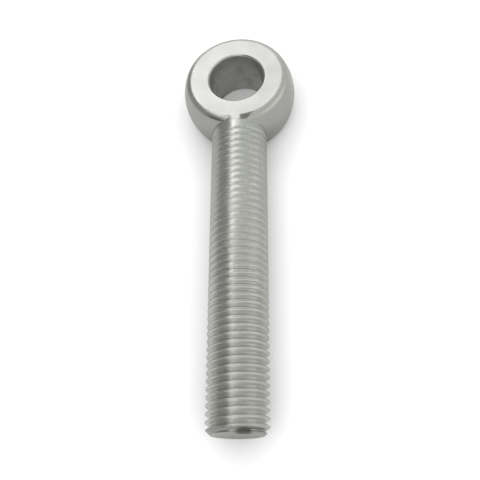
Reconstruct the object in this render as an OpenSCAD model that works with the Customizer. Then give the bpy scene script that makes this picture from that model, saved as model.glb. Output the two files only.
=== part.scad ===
// Ball-headed eye bolt, turned and faced from one piece of steel.
// The origin is the centre of the ball, which is also the centre of its bore.
// +X runs along the shank to the threaded end, +Z is the bore's axis.
// The bolt lies on one flat of its eye, with its shank level.

/* [Eye] */
// Diameter of the ball that forms the eye
eye_d = 33; // [30:0.5:40]
// Width of the eye across its two flats
eye_w = 16; // [12:0.5:17]
// Diameter of the bore through the eye
bore_d = 16; // [8:0.5:17]
// Width of the small chamfer at each mouth of the bore
bore_chamfer = 0.4; // [0.1:0.1:0.8]
// Radius that rounds the outer edge of each flat into the ball
rim_r = 2.2; // [1:0.1:3]

/* [Shank] */
// Major diameter of the thread, which is cut over the whole shank
thread_d = 16; // [14:0.5:18]
// Pitch of the thread, which sets how far the end is chamfered
thread_pitch = 2; // [1:0.25:2.5]
// Length from the centre of the bore to the threaded end
bolt_l = 100; // [45:5:160]
// Radius of the fillet at the neck, where the shank leaves the ball
neck_r = 0.2; // [0.2:0.1:1.2]

/* [Hidden] */
$fn = 128;
// Colour of the satin steel
steel = [0.70, 0.71, 0.69];
// Depth of a metric thread over its pitch
thread_depth_ratio = 0.6134;
// Overlap of one cut or band past another, so that no two faces only touch
eps = 0.02;
ball_r = eye_d / 2;
flat_z = eye_w / 2;
bore_r = bore_d / 2;
// How far the crest of a cut thread stays under its nominal radius
crest_clearance = 0.04;
shank_r = thread_d / 2 - crest_clearance;
end_chamfer = thread_depth_ratio * thread_pitch;
// The rim's arc is tangent to the flat and to the ball.
rim_z = flat_z - rim_r;
rim_x = sqrt(pow(ball_r - rim_r, 2) - pow(rim_z, 2));
// Height at which the rim's arc hands over to the ball
band_z = rim_z * ball_r / (ball_r - rim_r);
// The neck's arc is tangent to the shank and to the ball.
neck_y = shank_r + neck_r;
neck_x = sqrt(pow(ball_r + neck_r, 2) - pow(neck_y, 2));
// Place on the ball where the neck's arc starts
neck_start_x = neck_x * ball_r / (ball_r + neck_r);
neck_start_y = neck_y * ball_r / (ball_r + neck_r);
// Rise over the flat of the neck's crown, which facing takes down to a narrow tongue
crown_rise = 0.1;
crown_y = flat_z + crown_rise;
crown_x = rim_x - crown_rise;

// Half of the eye's section: axis of the bore up, ball outwards
module eye_section() {
    square([rim_x, flat_z]);
    translate([rim_x, rim_z])
        circle(r = rim_r);
    intersection() {
        circle(r = ball_r);
        square([ball_r + eps, band_z]);
    }
}

// Solid of the eye before it is bored: a ball with two flats and soft rims
module eye_ball() {
    for (side = [0, 1])
        mirror([0, 0, side])
            rotate_extrude()
                intersection() {
                    eye_section();
                    square([ball_r + eps, flat_z]);
                }
}

// Half of the shank's section: the shank's axis up, its surface outwards
module shank_section() {
    // The shank with its chamfered end
    polygon([
        [0, 0],
        [shank_r, 0],
        [shank_r, bolt_l - end_chamfer],
        [shank_r - end_chamfer, bolt_l],
        [0, bolt_l]
    ]);
    // The flare of the neck, which runs out on the ball
    difference() {
        polygon([
            [0, 0],
            [crown_y, crown_x],
            [neck_start_y, neck_start_x],
            [neck_y, neck_x],
            [0, neck_x]
        ]);
        translate([neck_y, neck_x])
            circle(r = neck_r);
    }
}

// The shank, whose neck is trimmed above and below where the flats are faced
module shank() {
    difference() {
        rotate([0, 90, 0])
            rotate_extrude()
                shank_section();
        for (side = [0, 1])
            mirror([0, 0, side])
                translate([0, 0, flat_z])
                    cylinder(r = neck_x, h = ball_r);
    }
}

// The bore and the chamfer at each of its mouths
module bore() {
    cylinder(r = bore_r, h = eye_w + 2 * eps, center = true);
    for (side = [0, 1])
        mirror([0, 0, side])
            translate([0, 0, flat_z - bore_chamfer])
                cylinder(r1 = bore_r, r2 = bore_r + bore_chamfer + eps, h = bore_chamfer + eps);
}

module eye_bolt() {
    color(steel)
        difference() {
            union() {
                eye_ball();
                shank();
            }
            bore();
        }
}

eye_bolt();
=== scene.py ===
"""Dresses the eye bolt: one piece of turned satin steel with a cut thread, on a pale floor."""
import math
import bmesh
import bpy
from mathutils import Matrix, Vector


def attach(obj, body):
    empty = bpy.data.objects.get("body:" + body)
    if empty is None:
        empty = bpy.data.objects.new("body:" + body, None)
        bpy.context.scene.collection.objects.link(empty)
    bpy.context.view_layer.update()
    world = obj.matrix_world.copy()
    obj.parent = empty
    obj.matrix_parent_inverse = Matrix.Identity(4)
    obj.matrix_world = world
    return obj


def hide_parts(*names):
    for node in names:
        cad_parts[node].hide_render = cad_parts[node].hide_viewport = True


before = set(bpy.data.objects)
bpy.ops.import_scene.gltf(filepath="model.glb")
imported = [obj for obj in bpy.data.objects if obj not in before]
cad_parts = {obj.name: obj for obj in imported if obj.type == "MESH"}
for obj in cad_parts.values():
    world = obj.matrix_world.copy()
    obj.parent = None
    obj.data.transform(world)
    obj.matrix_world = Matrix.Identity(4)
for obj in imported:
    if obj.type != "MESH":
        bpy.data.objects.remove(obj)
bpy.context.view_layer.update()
scene = bpy.context.scene

# Sizes of the bolt, in millimetres. The origin is the centre of the ball and of its bore.
# The ball and the flats stay a hair inside those of the solids.
BALL_R = 16.485
FLAT_Z = 8.0
FACE_CUT = 0.0012
BORE_R = 8.0
BORE_CHAMFER = 0.4
RIM_R = 2.2
SHANK_R = 7.96
PITCH = 2.0
BOLT_L = 100.0
NECK_R = 0.2
CROWN_RISE = 0.1
END_CHAMFER = 0.6134 * PITCH
CHAMFER_X = BOLT_L - END_CHAMFER
# Centre of the rim's arc, which is tangent to the flat and to the ball
RIM_Z = FLAT_Z - RIM_R
RIM_X = math.sqrt((BALL_R - RIM_R) ** 2 - RIM_Z ** 2)
# Centre of the neck's arc, which is tangent to the shank and to the ball
NECK_Y = SHANK_R + NECK_R
NECK_X = math.sqrt((BALL_R + NECK_R) ** 2 - NECK_Y ** 2)

# The thread. Its groove starts beside the neck, stays shallow as far as NEAR_END and then
# grows to its whole depth.
FLANK = math.tan(math.radians(30))
ROOT_HALF = 0.165
CUT_DEPTH = 1.2
GROOVE_START = NECK_X + 1.4
START_LENGTH = 1.1
NEAR_DEPTH = 0.14
NEAR_END = 34.0
FULL_FROM = 86.0
# The threaded rod runs from inside the eye to past the end
ROD_START = NECK_X - 5.0
ROD_OVERRUN = 3.0
START_TURN = 0.19

# Segments round the ball and the neck, the bore and the thread, and along each arc
ROUND = 176
BORE_ROUND = 144
COLUMNS = 104
RIM_STEPS = 12
BALL_STEPS = 14
NECK_STEPS = 8
# Rows of the thread from the middle of a groove to the middle of a crest
HALF_ROWS = 7

# Points closer than this are one
WELD = 0.0005
# How near to a surface the middle of a face on it is
CLOSE = 0.02
TIGHT = 0.01
# How far a cutter reaches past what it cuts
BEYOND = 1.0
# A millimetre in the frame's metres
MM = 0.001


def smooth(t):
    t = min(max(t, 0.0), 1.0)
    return t * t * (3 - 2 * t)


def new_object(name, data):
    obj = bpy.data.objects.new(name, data)
    scene.collection.objects.link(obj)
    return obj


def mesh_object(name, points, faces):
    mesh = bpy.data.meshes.new(name)
    mesh.from_pydata(points, [], faces)
    bm = bmesh.new()
    bm.from_mesh(mesh)
    bmesh.ops.recalc_face_normals(bm, faces=bm.faces)
    bm.to_mesh(mesh)
    bm.free()
    return new_object(name, mesh)


def lathe(name, profile, axis, steps=ROUND, turn=0.0):
    """A closed solid turned from (radius, height) pairs; the first and last lie on the axis."""
    points, rings = [], []
    for r, h in profile:
        ring = []
        for i in range(1 if r == 0 else steps):
            a = 2 * math.pi * (i + turn) / steps
            u, v = r * math.cos(a), r * math.sin(a)
            ring.append(len(points))
            points.append((u, v, h) if axis == "Z" else (h, u, v))
        rings.append(ring)
    faces = []
    for a, b in zip(rings, rings[1:]):
        if len(a) == 1 and len(b) == 1:
            continue
        for i in range(steps):
            j = (i + 1) % steps
            if len(a) == 1:
                faces.append((a[0], b[i], b[j]))
            elif len(b) == 1:
                faces.append((a[i], b[0], a[j]))
            else:
                faces.append((a[i], b[i], b[j], a[j]))
    return mesh_object(name, points, faces)


def arc(cx, cy, r, start, end, steps):
    """Points on an arc from one bearing to another, in degrees."""
    angles = [math.radians(start + (end - start) * k / steps) for k in range(steps + 1)]
    return [(cx + r * math.cos(a), cy + r * math.sin(a)) for a in angles]


def boolean(target, tool, operation):
    """The target's mesh becomes the result, and the tool is gone."""
    mod = target.modifiers.new("cut", "BOOLEAN")
    mod.object = tool
    mod.operation = operation
    mod.solver = "MANIFOLD"
    depsgraph = bpy.context.evaluated_depsgraph_get()
    result = bpy.data.meshes.new_from_object(target.evaluated_get(depsgraph))
    target.modifiers.clear()
    old = target.data
    target.data = result
    bpy.data.meshes.remove(old)
    tool_mesh = tool.data
    bpy.data.objects.remove(tool)
    bpy.data.meshes.remove(tool_mesh)
    return target


def ball():
    """The ball of the eye, with two flats and soft rims."""
    rim_angle = math.degrees(math.atan2(RIM_Z, RIM_X))
    upper = [(0.0, FLAT_Z)] + arc(RIM_X, RIM_Z, RIM_R, 90, rim_angle, RIM_STEPS)
    half = upper + arc(0, 0, BALL_R, rim_angle, 0, BALL_STEPS)[1:]
    return lathe("ball", half + [(r, -z) for r, z in reversed(half[:-1])], "Z")


def neck():
    """The flare that joins the shank to the ball; its two ends are hidden in the ball and the rod."""
    core_x, core_share, inset, lap = 9.6, 0.74, 0.9, 0.3
    start = math.degrees(math.atan2(NECK_Y, NECK_X))
    fillet = [(y, x) for x, y in arc(NECK_X, NECK_Y, NECK_R, 180 + start, 270, NECK_STEPS)]
    crown = (FLAT_Z + CROWN_RISE, RIM_X - CROWN_RISE)
    inside = [(0.0, core_x), (crown[0] * core_share, crown[1] * core_share), crown]
    outside = [(SHANK_R - inset, NECK_X + lap), (0.0, NECK_X + lap)]
    return lathe("neck", inside + fillet + outside, "X", turn=0.5)


def groove_depth(x):
    """Depth of the groove's root where its middle is at x."""
    start = smooth((x - GROOVE_START) / START_LENGTH)
    grown = smooth((x - NEAR_END) / (FULL_FROM - NEAR_END))
    return CUT_DEPTH * start * (NEAR_DEPTH + (1 - NEAR_DEPTH) * grown)


def half_groove(depth):
    """(distance from the groove's middle, how far under the crest), from root to crest."""
    top = ROOT_HALF + depth * FLANK
    e = min(0.1, depth * 0.12)
    return [
        (0.0, depth),
        (ROOT_HALF * 0.75, depth - 0.15 * e),
        (ROOT_HALF + e * FLANK, depth - e),
        (ROOT_HALF + 0.5 * depth * FLANK, depth * 0.5),
        (top - e * FLANK, e),
        (top + 0.35 * e, 0.12 * e),
        (top + 1.2 * e, 0.0),
        (PITCH / 2, 0.0),
    ]


def thread_rod():
    """A rod whose rows follow the helix, so that every crest and root is a clean line."""
    per_turn = 2 * HALF_ROWS
    rows = int((BOLT_L + ROD_OVERRUN - ROD_START) / PITCH) * per_turn + 1
    points = []
    for j in range(rows):
        turn, k = divmod(j, per_turn)
        for i in range(COLUMNS):
            helix = i / COLUMNS
            middle = ROD_START + PITCH * (turn + helix)
            if k > HALF_ROWS:
                middle += PITCH
                s, under = half_groove(groove_depth(middle))[per_turn - k]
                x = middle - s
            else:
                s, under = half_groove(groove_depth(middle))[k]
                x = middle + s
            r = SHANK_R - under
            a = 2 * math.pi * (helix + START_TURN)
            points.append((x, r * math.cos(a), r * math.sin(a)))
    faces = []
    for j in range(rows - 1):
        row, above = j * COLUMNS, (j + 1) * COLUMNS
        for i in range(COLUMNS - 1):
            faces.append((row + i, row + i + 1, above + i + 1, above + i))
        # Round the rod once, each row goes on as the row that is one turn further
        if j + 1 + per_turn < rows:
            turn_on, last = per_turn * COLUMNS, COLUMNS - 1
            faces.append((row + last, row + turn_on, above + turn_on, above + last))
    obj = mesh_object("rod", points, faces)
    bm = bmesh.new()
    bm.from_mesh(obj.data)
    open_edges = [e for e in bm.edges if e.is_boundary]
    middle = (ROD_START + BOLT_L) / 2
    for side in (-1, 1):
        loop = [e for e in open_edges if (e.verts[0].co.x - middle) * side > 0]
        hub = bm.verts.new((sum(e.verts[0].co.x for e in loop) / len(loop), 0, 0))
        for e in loop:
            bm.faces.new((e.verts[0], e.verts[1], hub))
    bmesh.ops.recalc_face_normals(bm, faces=bm.faces)
    bm.to_mesh(obj.data)
    bm.free()
    return obj


def end_envelope():
    """What the chamfered end leaves of the rod."""
    out = SHANK_R + BEYOND
    cone = [(out, CHAMFER_X - BEYOND), (SHANK_R - END_CHAMFER, BOLT_L)]
    return lathe("envelope", [(0.0, 0.0), (out, 0.0)] + cone + [(0.0, BOLT_L)], "X", turn=0.25)


def face_cutter(side):
    """What facing takes off the crown of the neck, over or under the eye."""
    low, high = side * (FLAT_Z - FACE_CUT), side * BALL_R
    return lathe("facing", [(0.0, low), (NECK_X, low), (NECK_X, high), (0.0, high)], "Z", turn=0.5)


def bore_cutter():
    """The bore with the chamfer at each of its mouths."""
    top = FLAT_Z + BEYOND
    half = [(0.0, top), (BORE_R + BORE_CHAMFER + BEYOND, top), (BORE_R, FLAT_Z - BORE_CHAMFER)]
    return lathe("bore", half + [(r, -h) for r, h in reversed(half)], "Z", steps=BORE_ROUND)


def build():
    rod = boolean(thread_rod(), end_envelope(), "INTERSECT")
    solid = boolean(ball(), neck(), "UNION")
    solid = boolean(solid, rod, "UNION")
    for side in (1, -1):
        solid = boolean(solid, face_cutter(side), "DIFFERENCE")
    return boolean(solid, bore_cutter(), "DIFFERENCE")


def profile_under(s, depth):
    """How far under the crest the thread's surface is, at the distance s from a groove's middle."""
    points = half_groove(depth)
    for (s0, u0), (s1, u1) in zip(points, points[1:]):
        if s <= s1:
            return u0 + (u1 - u0) * (s - s0) / (s1 - s0)
    return 0.0


def rod_radius(x, a):
    """Radius of the threaded rod at x and the angle a about it."""
    helix = (a / (2 * math.pi) - START_TURN) % 1.0
    turns = (x - ROD_START) / PITCH - helix
    middle = ROD_START + PITCH * (math.floor(turns + 0.5) + helix)
    return SHANK_R - profile_under(abs(x - middle), groove_depth(middle))


def thread_normal(p):
    """Normal of the threaded rod at the point p, from its slopes along and across the shank."""
    a = math.atan2(p.z, p.y)
    step = 0.03
    turn = step / SHANK_R
    along = (rod_radius(p.x + step, a) - rod_radius(p.x - step, a)) / (2 * step)
    across = (rod_radius(p.x, a + turn) - rod_radius(p.x, a - turn)) / (2 * step)
    out = Vector((0, math.cos(a), math.sin(a)))
    around = Vector((0, -math.sin(a), math.cos(a)))
    return (out - along * Vector((1, 0, 0)) - across * around).normalized()


# Surfaces whose faces keep their own normal
FLAT_KINDS = ("flat", "end", "plain")


def surface_of(c, n):
    """Names the turned surface that a face lies on, from its middle c and normal n."""
    rho, radius, high = math.hypot(c.x, c.y), math.hypot(c.y, c.z), abs(c.z)
    if abs(n.z) > 0.9995 and high > FLAT_Z - TIGHT:
        return "flat"
    if abs(rho - BORE_R) < CLOSE and abs(n.z) < 0.01:
        return "bore"
    if BORE_R - TIGHT < rho < BORE_R + BORE_CHAMFER + TIGHT and high > FLAT_Z - BORE_CHAMFER - TIGHT:
        return "mouth"
    if c.x > BOLT_L - 0.001:
        return "end"
    past_cone = radius + c.x - BOLT_L - SHANK_R + END_CHAMFER
    if c.x > CHAMFER_X - TIGHT and abs(n.x - math.sqrt(0.5)) < 0.02 and abs(past_cone) < CLOSE:
        return "chamfer"
    if abs(c.length - BALL_R) < CLOSE and n.dot(c.normalized()) > 0.999:
        return "ball"
    if rho > RIM_X - 0.05 and abs(math.hypot(rho - RIM_X, high - RIM_Z) - RIM_R) < CLOSE:
        return "rim"
    if c.x < NECK_X + CLOSE and abs(math.hypot(c.x - NECK_X, radius - NECK_Y) - NECK_R) < CLOSE:
        return "neck"
    if c.x > NECK_X and n.x > -0.999:
        return "thread"
    return "plain"


def true_normal(kind, p, n):
    """Normal at the point p of a surface of that kind; n is the face's own normal."""
    if kind in FLAT_KINDS:
        return n
    if kind == "ball":
        return p.normalized()
    if kind == "thread":
        return thread_normal(p)
    rho, radius, side = math.hypot(p.x, p.y), math.hypot(p.y, p.z), (1 if p.z > 0 else -1)
    if kind == "bore":
        return Vector((-p.x / rho, -p.y / rho, 0))
    if kind == "mouth":
        return Vector((-p.x / rho, -p.y / rho, side)).normalized()
    if kind == "rim":
        share = 1 - RIM_X / rho
        return Vector((p.x * share, p.y * share, p.z - side * RIM_Z)).normalized()
    if kind == "chamfer":
        return Vector((1, p.y / radius, p.z / radius)).normalized()
    share = NECK_Y / radius - 1
    return Vector((NECK_X - p.x, p.y * share, p.z * share)).normalized()


def smooth_body(obj):
    """Gives every corner the normal of the turned surface it lies on."""
    bm = bmesh.new()
    bm.from_mesh(obj.data)
    bmesh.ops.remove_doubles(bm, verts=bm.verts, dist=WELD)
    for face in bm.faces:
        face.smooth = True
    bm.to_mesh(obj.data)
    bm.free()
    mesh = obj.data
    normals, known = [None] * len(mesh.loops), {}
    for poly in mesh.polygons:
        n = poly.normal.copy()
        kind = surface_of(Vector(poly.center), n)
        for k in poly.loop_indices:
            v = mesh.loops[k].vertex_index
            if (kind, v) not in known or kind in FLAT_KINDS:
                known[kind, v] = true_normal(kind, mesh.vertices[v].co, n)
            normals[k] = known[kind, v]
    mesh.transform(Matrix.Scale(MM, 4))
    mesh.normals_split_custom_set(normals)


bolt = build()
bolt.name = "bolt_body"
bolt.data.name = "bolt_body"
smooth_body(bolt)


class Nodes:
    """Short hands for a node tree."""

    def __init__(self, tree):
        self.tree = tree

    def put(self, socket, value):
        if isinstance(value, bpy.types.NodeSocket):
            self.tree.links.new(value, socket)
        else:
            socket.default_value = value

    def add(self, kind, **inputs):
        node = self.tree.nodes.new(kind)
        for name, value in inputs.items():
            self.put(node.inputs[name.replace("_", " ")], value)
        return node

    def math(self, operation, a, b=0.0):
        node = self.add("ShaderNodeMath")
        node.operation = operation
        self.put(node.inputs[0], a)
        self.put(node.inputs[1], b)
        return node.outputs[0]

    def times(self, value, *factors):
        for factor in factors:
            value = self.math("MULTIPLY", value, factor)
        return value

    def size(self, value):
        return self.math("ABSOLUTE", value)

    def reach(self, a, b):
        """Distance from the axis that a and b are measured from."""
        return self.math("SQRT", self.math("ADD", self.times(a, a), self.times(b, b)))

    def about(self, noise, amount):
        """The noise round zero instead of round a half, times the amount."""
        return self.times(self.math("SUBTRACT", noise, 0.5), amount)

    def ramp(self, value, low, high, to_low=0.0, to_high=1.0):
        node = self.add("ShaderNodeMapRange")
        node.interpolation_type = "SMOOTHSTEP"
        self.put(node.inputs["Value"], value)
        for name, number in (("From Min", low), ("From Max", high), ("To Min", to_low), ("To Max", to_high)):
            self.put(node.inputs[name], number)
        return node.outputs[0]

    def mix(self, factor, a, b):
        """From colour a to colour b."""
        node = self.add("ShaderNodeMix", Factor=factor)
        node.data_type = "RGBA"
        self.put(node.inputs[6], a)
        self.put(node.inputs[7], b)
        return node.outputs[2]

    def blend(self, factor, a, b):
        """From number a to number b."""
        return self.add("ShaderNodeMix", Factor=factor, A=a, B=b).outputs[0]

    def noise(self, vector, scale, detail, rough):
        node = self.add("ShaderNodeTexNoise", Vector=vector, Scale=scale, Detail=detail, Roughness=rough)
        return node.outputs["Fac"]

    def pair(self, a, b):
        return self.add("ShaderNodeCombineXYZ", X=a, Y=b).outputs[0]

    def vector_math(self, operation, a, b=(0, 0, 0)):
        node = self.add("ShaderNodeVectorMath")
        node.operation = operation
        self.put(node.inputs[0], a)
        self.put(node.inputs[1], b)
        return node

    def stretch(self, vector, x, y, z):
        return self.vector_math("MULTIPLY", vector, (x, y, z)).outputs[0]

    def spot(self, vector, centre, reach, ragged):
        """One at the centre, falling to nothing at about that reach along each axis."""
        off = self.vector_math("SUBTRACT", vector, centre).outputs[0]
        far = self.vector_math("LENGTH", self.stretch(off, *(1 / r for r in reach))).outputs["Value"]
        return self.ramp(self.math("ADD", far, ragged), 0.45, 1.0, 1.0, 0.0)


def empty_tree(mat):
    mat.use_nodes = True
    mat.node_tree.nodes.clear()
    return Nodes(mat.node_tree)


# Colours of the steel: the general tone and its cloudy patches, the crests of the thread, painted light
# on its flanks and in the bore, the faced flats, the end, the worn edges, and dirt and painted shade on it
STEEL = (0.385, 0.392, 0.370, 1)
STEEL_DULL = (0.352, 0.360, 0.336, 1)
STEEL_CREST = (0.345, 0.352, 0.331, 1)
FLANK_PAINTED_LIGHT = (0.575, 0.583, 0.55, 1)
BORE_PAINTED_LIGHT = (0.55, 0.557, 0.525, 1)
STEEL_FACED = (0.405, 0.406, 0.398, 1)
STEEL_END = (0.28, 0.287, 0.27, 1)
STEEL_WORN = (0.52, 0.528, 0.505, 1)
DIRT_AND_PAINTED_SHADE = (0.075, 0.070, 0.056, 1)
# Scale to the millimetre, detail and roughness of each noise
CLOUD = (0.16, 3.0, 0.5)
GRAIN = (5.5, 3.0, 0.6)
RINGS = (1.0, 4.0, 0.6)
WEAR = (0.9, 4.0, 0.65)
RAGGED = (0.75, 3.0, 0.6)
FILM = (0.32, 3.0, 0.55)
# How close together the marks of the tool are on the shank, on the flats and in the bore
TURNED_RINGS = (9.0, 0.35, 0.35)
FACED_RINGS = (7.0, 0.6)
BORED_RINGS = (6.0, 0.3)
# The painted dark reflection on the end, in millimetres
END_PAINTED_REFLECTION = (100.0, 2.2, 5.6)
END_PAINTED_REFLECTION_REACH = (2.0, 2.7, 4.6)
# Roughness of the steel, and what the clouds, the tool's marks, the end, dirt and painted shade change in it
ROUGHNESS = 0.30
CLOUD_ROUGHNESS = 0.22
MARK_ROUGHNESS = 0.16
END_ROUGHNESS = 0.04
DIRT_AND_SHADE_ROUGHNESS = 0.42
# How far dirt and painted shade hide the metal
DIRT_AND_SHADE_COVER = 0.92
BUMP_HEIGHT = 0.00004


def steel():
    """Satin steel with the tool's marks, worn edges, dirt, and painted light, shade and reflection."""
    mat = bpy.data.materials.new("steel")
    g = empty_tree(mat)
    bsdf = g.add("ShaderNodeBsdfPrincipled")
    g.add("ShaderNodeOutputMaterial", Surface=bsdf.outputs[0])
    place = g.add("ShaderNodeTexCoord").outputs
    mm = g.stretch(place["Object"], 1 / MM, 1 / MM, 1 / MM)
    x, y, z = g.add("ShaderNodeSeparateXYZ", Vector=mm).outputs
    high = g.size(z)
    rho = g.reach(x, y)
    radius = g.reach(y, z)
    slope = g.size(g.add("ShaderNodeSeparateXYZ", Vector=place["Normal"]).outputs["X"])

    # One on each surface, and nothing beside it
    on_shank = g.ramp(x, NECK_X - 0.2, NECK_X + 0.3)
    # Where the painted light on the thread's flanks goes
    flank_painted_light = g.times(on_shank, g.ramp(slope, 0.2, 0.75), g.ramp(x, CHAMFER_X, CHAMFER_X - 0.4))
    flank_painted_light = g.times(flank_painted_light, g.ramp(x, NECK_X, 50))
    on_flat = g.times(g.ramp(high, FLAT_Z - 0.06, FLAT_Z - 0.02), g.ramp(x, NECK_X + 0.4, NECK_X))
    in_bore = g.times(g.ramp(rho, BORE_R + 0.3, BORE_R + 0.02), g.ramp(high, FLAT_Z, FLAT_Z - 0.4))
    on_end = g.ramp(x, CHAMFER_X - 0.05, CHAMFER_X + 0.02)

    # Marks of the tool: rings round the shank's axis, and round the bore's on the flats and in it
    turned = g.noise(g.stretch(mm, *TURNED_RINGS), *RINGS)
    faced = g.noise(g.pair(g.times(rho, FACED_RINGS[0]), g.times(z, FACED_RINGS[1])), *RINGS)
    bored = g.noise(g.pair(g.times(z, BORED_RINGS[0]), g.times(y, BORED_RINGS[1])), *RINGS)
    marks = g.blend(in_bore, g.blend(on_flat, turned, faced), bored)
    grain = g.noise(mm, *GRAIN)
    cloud = g.noise(mm, *CLOUD)

    tone = g.mix(g.ramp(cloud, 0.35, 0.75, 0.0, 0.45), STEEL, STEEL_DULL)
    tone = g.mix(g.times(g.ramp(x, 25, 75), 0.9), tone, STEEL_CREST)
    # Painted light: the thread's flanks get a lighter steel to make up for the shade in the grooves
    tone = g.mix(flank_painted_light, tone, FLANK_PAINTED_LIGHT)
    tone = g.mix(g.times(on_flat, 0.7), tone, STEEL_FACED)
    # Painted light: the bore gets a lighter steel to make up for the shade in it
    tone = g.mix(g.times(in_bore, 0.9), tone, BORE_PAINTED_LIGHT)
    tone = g.mix(g.times(on_end, 0.85), tone, STEEL_END)

    # Wear that brightens the thread's crests and the edges of the flats in patches
    crest = g.times(on_shank, g.ramp(radius, SHANK_R - 0.12, SHANK_R - 0.02))
    off_edge = g.size(g.math("SUBTRACT", rho, RIM_X + 0.35))
    edge = g.times(g.ramp(off_edge, 0.2, 0.6, 1.0, 0.0), g.ramp(high, FLAT_Z - 0.6, FLAT_Z - 0.2))
    patches = g.ramp(g.noise(mm, *WEAR), 0.42, 0.68, 0.0, 0.38)
    tone = g.mix(g.times(g.math("MAXIMUM", crest, edge), patches), tone, STEEL_WORN)

    # Painted shade in the corner beside the neck, which thins along the rim
    bearing = g.times(g.math("ARCTAN2", y, x), 180 / math.pi)
    past = g.math("SUBTRACT", rho, g.ramp(bearing, 9, 24, 14.7, 13.5))
    corner = g.times(g.ramp(rho, 12.9, 13.3), g.ramp(past, -0.25, 0.15, 1.0, 0.0))
    corner = g.times(corner, g.ramp(bearing, 3.0, 7.0), g.ramp(bearing, 14, 29, 1.0, 0.0))
    corner = g.times(corner, g.ramp(z, 5.5, 7.0), 0.76)
    # A painted dark reflection on the end, painted shade under the far edge of the bore's mouth,
    # and a thin film of dirt in it
    end_painted_reflection = g.spot(mm, END_PAINTED_REFLECTION, END_PAINTED_REFLECTION_REACH, g.about(g.noise(mm, *RAGGED), 1.1))
    mouth = g.times(in_bore, g.ramp(z, 2.5, 7.0), g.ramp(x, 3.0, -4.0), g.ramp(cloud, 0.35, 0.6, 0.25, 0.6))
    film = g.times(in_bore, g.ramp(g.noise(mm, *FILM), 0.45, 0.7, 0.0, 0.2))
    # Dirt and painted shade in one mask, which darkens the steel and takes the metal away
    dirt_and_painted_shade = g.math("MAXIMUM", corner, g.times(end_painted_reflection, on_end))
    dirt_and_painted_shade = g.math("MAXIMUM", dirt_and_painted_shade, g.math("MAXIMUM", mouth, film))
    dirt_and_painted_shade = g.times(dirt_and_painted_shade, g.ramp(grain, 0.2, 0.5, 0.75, 1.0))
    g.put(bsdf.inputs["Base Color"], g.mix(dirt_and_painted_shade, tone, DIRT_AND_PAINTED_SHADE))

    rough = g.math("ADD", ROUGHNESS, g.about(cloud, CLOUD_ROUGHNESS))
    rough = g.math("ADD", rough, g.about(marks, MARK_ROUGHNESS))
    rough = g.math("SUBTRACT", rough, g.times(on_end, END_ROUGHNESS))
    g.put(bsdf.inputs["Roughness"], g.math("ADD", rough, g.times(dirt_and_painted_shade, DIRT_AND_SHADE_ROUGHNESS)))
    g.put(bsdf.inputs["Metallic"], g.math("SUBTRACT", 1.0, g.times(dirt_and_painted_shade, DIRT_AND_SHADE_COVER)))

    relief = g.math("ADD", g.times(marks, 0.7), g.times(grain, 0.3))
    bump = g.add("ShaderNodeBump", Height=relief, Strength=0.3, Distance=BUMP_HEIGHT)
    g.put(bsdf.inputs["Normal"], bump.outputs[0])
    return mat


bolt.data.materials.clear()
bolt.data.materials.append(steel())

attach(bolt, "root")
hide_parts("eye_bolt")

# The floor, in metres: the bolt rests on it
FLOOR_Z = -0.008
FLOOR_HALF = 3
FLOOR_COLOUR = (0.30, 0.30, 0.30, 1)
# How bright the floor's own white is to the camera, the share of it that shows in the metal,
# and how far away the bolt still darkens it
FLOOR_GLOW = 0.90
IN_METAL = 0.68
SHADOW_REACH = 0.014


def floor_material():
    """A pale matt floor whose white shows to the camera and in the metal, less where the bolt covers it."""
    mat = bpy.data.materials.new("floor")
    g = empty_tree(mat)
    ray = g.add("ShaderNodeLightPath").outputs
    uncovered = g.add("ShaderNodeAmbientOcclusion", Distance=SHADOW_REACH)
    uncovered.samples = 8
    in_metal = g.times(g.math("ADD", ray["Is Glossy Ray"], ray["Is Transmission Ray"]), IN_METAL)
    level = g.times(g.math("ADD", in_metal, ray["Is Camera Ray"]), FLOOR_GLOW, uncovered.outputs["AO"])
    both = g.add("ShaderNodeAddShader")
    g.put(both.inputs[0], g.add("ShaderNodeBsdfDiffuse", Color=FLOOR_COLOUR).outputs[0])
    g.put(both.inputs[1], g.add("ShaderNodeEmission", Strength=level).outputs[0])
    g.add("ShaderNodeOutputMaterial", Surface=both.outputs[0])
    return mat


corners = [(x * FLOOR_HALF, y * FLOOR_HALF, FLOOR_Z) for x, y in ((-1, -1), (1, -1), (1, 1), (-1, 1))]
floor = mesh_object("floor", corners, [(0, 1, 2, 3)])
floor.data.materials.append(floor_material())


def softbox(name, place, target, size_x, size_y, radiance):
    """An area lamp whose surface has about that radiance."""
    data = bpy.data.lights.new(name, "AREA")
    data.shape = "RECTANGLE"
    data.size, data.size_y = size_x, size_y
    data.energy = radiance * math.pi * size_x * size_y
    lamp = new_object(name, data)
    lamp.location = place
    direction = Vector(target) - Vector(place)
    lamp.rotation_mode = "QUATERNION"
    lamp.rotation_quaternion = direction.to_track_quat("-Z", "Y")
    return lamp


# One box behind the eye lights its flat, and a long one to the left lays the stripe along the shank
softbox("flat_box", (-0.45, -0.085, 0.48), (0.0, 0.0, 0), 0.30, 0.30, 1.25)
softbox("shank_box", (-0.12, -0.19, 0.50), (-0.12, -0.19, 0), 0.50, 0.13, 1.85)

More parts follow.
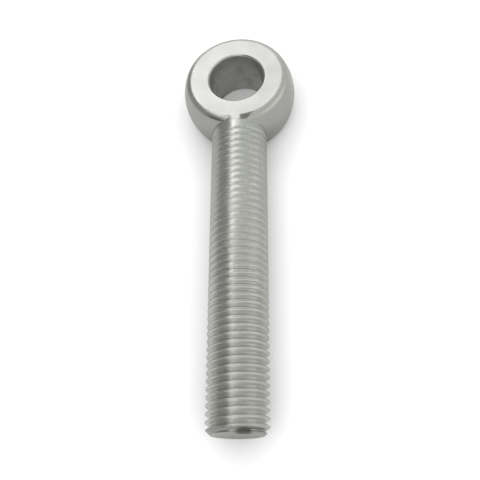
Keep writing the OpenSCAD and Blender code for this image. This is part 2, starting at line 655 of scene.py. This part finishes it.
# Level of each wall between two bearings, in degrees from the bolt's axis towards its right
LEFT_BACK = (-146, -112, 0.42)
LEFT_WALL = (-112, -60, 0.55)
DARK_SCREEN = (-60, -25, 0.12)
SCREEN_EDGE = (-25, -15, 0.85)
BRIGHT_STRIP = (-15, 0, 1.35)
FRONT_WALL = (0, 50, 1.08)
RIGHT_WALL = (50, 112, 1.4)
RIGHT_BACK = (112, 150, 0.98)
WALLS = (LEFT_BACK, LEFT_WALL, DARK_SCREEN, SCREEN_EDGE, BRIGHT_STRIP, FRONT_WALL, RIGHT_WALL, RIGHT_BACK)
BACK_WALL = 1.2
WALL_BLUR = 2.5
# Levels of the canopy over them, and the elevations between which the walls give way to it
CANOPY = 0.98
CANOPY_LEFT = (-146, -45, 0.44)
FRONT_BOX = (-30, 0, 2.3)
CANOPY_BLUR = 6
WALL_TOP = 36
CANOPY_EDGE = 44


def grey(level):
    return (level, level * 1.004, level * 0.985, 1)


def studio():
    """Light walls all round under a canopy, with a dark screen ahead and to the left."""
    world = bpy.data.worlds.new("studio")
    scene.world = world
    world.use_nodes = True
    g = Nodes(world.node_tree)
    generated = g.add("ShaderNodeTexCoord").outputs["Generated"]
    ahead, right, up = g.add("ShaderNodeSeparateXYZ", Vector=generated).outputs
    azimuth = g.times(g.math("ARCTAN2", right, ahead), 180 / math.pi)

    def lay(panels, base, blur):
        shade = grey(base)
        for low, high, level in panels:
            starts = g.ramp(azimuth, low - blur, low + blur)
            ends = g.ramp(azimuth, high - blur, high + blur, 1.0, 0.0)
            shade = g.mix(g.times(starts, ends), shade, grey(level))
        return shade

    walls = lay(WALLS, BACK_WALL, WALL_BLUR)
    canopy = lay((CANOPY_LEFT, FRONT_BOX), CANOPY, CANOPY_BLUR)
    wall_top, canopy_edge = (math.sin(math.radians(a)) for a in (WALL_TOP, CANOPY_EDGE))
    whole = g.mix(g.ramp(up, wall_top, canopy_edge), walls, canopy)
    # Beyond the floor's far edge the camera sees the floor's own white
    seen = g.mix(g.add("ShaderNodeLightPath").outputs["Is Camera Ray"], whole, (1, 1, 1, 1))
    g.put(world.node_tree.nodes["Background"].inputs["Color"], seen)


studio()

CAMERA_AT = (0.1197, 0.02096, 0.1538)
CAMERA_TARGET = (0.05291, 0.00364, 0.0)
CAMERA_ROLL = -16.03
CAMERA_SHIFT = (-0.0253, 0.0298)
SENSOR = 36
LENS = 47.068
cam_data = bpy.data.cameras.new("camera")
camera = new_object("camera", cam_data)
cam_data.sensor_width = SENSOR
cam_data.lens = LENS
cam_data.shift_x, cam_data.shift_y = CAMERA_SHIFT
cam_data.clip_start = 0.01
cam_data.clip_end = 20
look = (Vector(CAMERA_TARGET) - Vector(CAMERA_AT)).to_track_quat("-Z", "Y").to_matrix().to_4x4()
camera.matrix_world = Matrix.Translation(CAMERA_AT) @ look @ Matrix.Rotation(math.radians(CAMERA_ROLL), 4, "Z")
scene.camera = camera

scene.view_settings.view_transform = "Standard"
